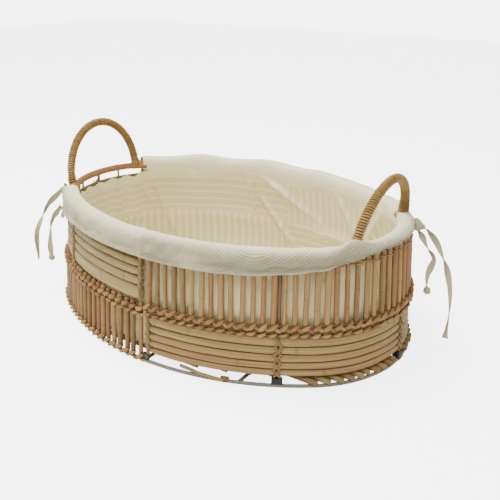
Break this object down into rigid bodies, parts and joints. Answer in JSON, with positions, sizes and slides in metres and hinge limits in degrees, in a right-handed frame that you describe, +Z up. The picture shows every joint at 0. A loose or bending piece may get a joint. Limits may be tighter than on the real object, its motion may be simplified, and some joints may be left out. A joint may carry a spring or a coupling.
{
  "type": "baby cradle",
  "caption": "Oval baby cradle basket of rattan sticks and slats lashed to a wire frame, with arched cane handles at its ends and a cotton liner folded over the rim",
  "frame": {"origin": "middle of the oval base, on the surface that the base ring stands on", "axes": "+X along the cradle's length towards the end whose ties are knotted, +Y across it towards the back, +Z up"},
  "size_m": [0.6924, 0.4594, 0.2978],
  "materials": {
    "frame_wire": "dull grey-olive paint",
    "frame_tab": "dark paint",
    "cane_stick": "raw, matt to satin",
    "cane_slat": "raw, satin",
    "rim_cane": "raw, satin",
    "lashing_cane": "raw, matt",
    "handle_core_cane": "raw",
    "handle_wrap_cane": "peeled cane skin, satin",
    "liner_cotton": "plain-woven unbleached cotton",
    "tie_tape": "folded cotton tape"
  },
  "bodies": {
    "root": {"base_ring": "frame_wire", "mid_ring": "frame_wire", "post_front": "frame_wire", "post_front_right": "frame_wire", "post_right_end": "frame_wire", "post_back_right": "frame_wire", "post_back": "frame_wire", "post_back_left": "frame_wire", "post_left_end": "frame_wire", "post_front_left": "frame_wire", "post_tabs": "frame_tab", "end_struts": "frame_wire", "floor_bearers": "frame_wire", "rim_pole": "rim_cane", "upper_sticks": "cane_stick", "lower_sticks": "cane_stick", "floor_sticks": "cane_stick", "lower_slat_1": "cane_slat", "lower_slat_2": "cane_slat", "lower_slat_3": "cane_slat", "lower_slat_4": "cane_slat", "lower_slat_5": "cane_slat", "upper_slat_1": "cane_slat", "upper_slat_2": "cane_slat", "upper_slat_3": "cane_slat", "upper_slat_4": "cane_slat", "upper_slat_5": "cane_slat", "belt_twine_right": "lashing_cane", "belt_twine_left": "lashing_cane", "rim_twine": "lashing_cane", "base_lashing": "lashing_cane", "lower_slat_ties": "lashing_cane", "upper_slat_ties": "lashing_cane", "seam_ties": "lashing_cane", "brace_cane": "rim_cane", "handle_left_core": "handle_core_cane", "handle_left_wrap": "handle_wrap_cane", "handle_left_bindings": "handle_wrap_cane", "handle_right_core": "handle_core_cane", "handle_right_wrap": "handle_wrap_cane", "handle_right_bindings": "handle_wrap_cane", "liner_floor": "liner_cotton", "liner_wall": "liner_cotton", "liner_collar_front": "liner_cotton", "liner_collar_back": "liner_cotton", "liner_collar_end": "liner_cotton", "drawstring": "tie_tape", "tie_knot": "tie_tape", "tie_left_long": "tie_tape", "tie_left_short": "tie_tape", "tie_right_long": "tie_tape", "tie_right_short": "tie_tape"}
  },
  "joints": []
}
